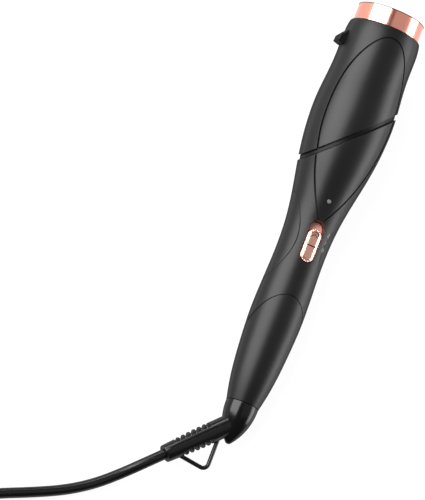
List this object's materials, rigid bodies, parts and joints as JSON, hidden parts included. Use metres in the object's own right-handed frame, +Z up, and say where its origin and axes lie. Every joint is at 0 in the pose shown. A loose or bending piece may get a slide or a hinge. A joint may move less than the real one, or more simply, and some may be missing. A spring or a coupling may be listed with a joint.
{
  "type": "hot-air hair styler",
  "caption": "Slim hot-air hair styler lying on its back: round handle with slide switch, oblique twist joint, leaf-shaped front panel, metal outlet collar, side latch and swivel cord with plug.",
  "frame": {"origin": "bottom centre of the bounding box of the styler without its free cord, coil and plug, on the table it lies on", "axes": "+Z up from the table, +Y along the styler towards the hot-air outlet (its axis rises 3.8 degrees), +X to the right of the upward-facing front panel"},
  "size_m": [0.2184, 0.539, 0.0566],
  "materials": {
    "satin_black_abs": "satin moulded ABS, soft-touch sheen",
    "satin_black_panel": "satin moulded inlay",
    "black_nylon": "moulded glass-filled nylon",
    "gloss_black_abs": "glossy moulded ABS",
    "black_rubber": "moulded soft PVC",
    "rose_gold_metal": "rose-gold anodised, fine satin",
    "rose_gold_plated": "rose-gold plated ABS",
    "bronze_gloss": "dark bronze glossy moulding",
    "black_grille": "heat-resistant PPS",
    "mica": "pressed mica sheet",
    "nichrome": "nichrome strip",
    "cutout_steel": "plated steel can",
    "cutout_ceramic": "glazed ceramic",
    "spring_steel": "spring strip",
    "board_green": "glass-epoxy board",
    "contact_block": "moulded switch body",
    "ion_case": "potted module case",
    "lamp_lens": "clear white acrylic",
    "motor_can": "drawn steel can",
    "shaft_steel": "ground steel",
    "fan_nylon": "moulded nylon",
    "filter_mesh": "woven nylon mesh",
    "screw_steel": "zinc-plated steel",
    "plug_pin_nickel": "nickel-plated brass",
    "tie_plastic": "moulded strap"
  },
  "bodies": {
    "cord_end": {"swivel_cap": "gloss_black_abs", "swivel_clip": "spring_steel", "strain_relief": "black_rubber", "hanging_loop": "gloss_black_abs", "power_cord": "black_rubber", "cord_coil": "black_rubber", "cord_tie": "tie_plastic", "cord_tail": "black_rubber", "plug_body": "black_rubber", "plug_pins": "plug_pin_nickel"},
    "handle": {"handle_front_shell": "satin_black_abs", "handle_rear_shell": "satin_black_abs", "handle_panel": "satin_black_panel", "grip_pad_left": "satin_black_abs", "grip_pad_right": "satin_black_abs", "handle_swivel_collar": "black_nylon", "switch_bezel": "bronze_gloss", "slide_switch": "contact_block", "switch_board": "board_green", "ion_module": "ion_case", "indicator_lens": "lamp_lens", "fan_housing": "fan_nylon", "fan_motor": "motor_can", "intake_cover": "satin_black_abs", "intake_filter": "filter_mesh", "shell_screws": "screw_steel"},
    "head": {"head_casing": "satin_black_abs", "head_panel": "satin_black_panel", "head_rear_panel": "satin_black_panel", "outlet_ring": "rose_gold_metal", "outlet_grille": "black_grille", "head_swivel_collar": "black_nylon", "swivel_retainer": "spring_steel", "heater_tube": "mica", "heater_boards": "mica", "heater_coil": "nichrome", "thermostat": "cutout_steel", "thermal_fuse": "cutout_ceramic", "latch_spring": "spring_steel"},
    "switch": {"switch_slider": "rose_gold_plated"},
    "latch": {"latch_knob": "gloss_black_abs"},
    "fan": {"impeller": "fan_nylon", "fan_shaft": "shaft_steel"}
  },
  "joints": [
    {"name": "cord_swivel", "type": "hinge", "parent": "cord_end", "child": "handle", "pos_m": [0.00677, -0.11207, 0.01382], "axis": [0, 0.9977, 0.0679], "continuous": true},
    {"name": "head_twist", "type": "hinge", "parent": "handle", "child": "head", "pos_m": [0.00857, 0.07929, 0.02685], "axis": [0.7071, -0.7055, -0.048], "range_deg": [0, 180]},
    {"name": "switch_slide", "type": "slide", "parent": "handle", "child": "switch", "axis": [0, 0.9977, 0.0679], "range_m": [0, 0.0055]},
    {"name": "latch_press", "type": "slide", "parent": "head", "child": "latch", "axis": [1, 0, 0], "range_m": [0, 0.0025], "stiffness_N_per_m": 900, "springref_m": -0.001, "deforming": ["latch_spring"]},
    {"name": "fan_spin", "type": "hinge", "parent": "handle", "child": "fan", "pos_m": [0.00677, -0.02427, 0.01979], "axis": [0, 0.9977, 0.0679], "continuous": true}
  ]
}
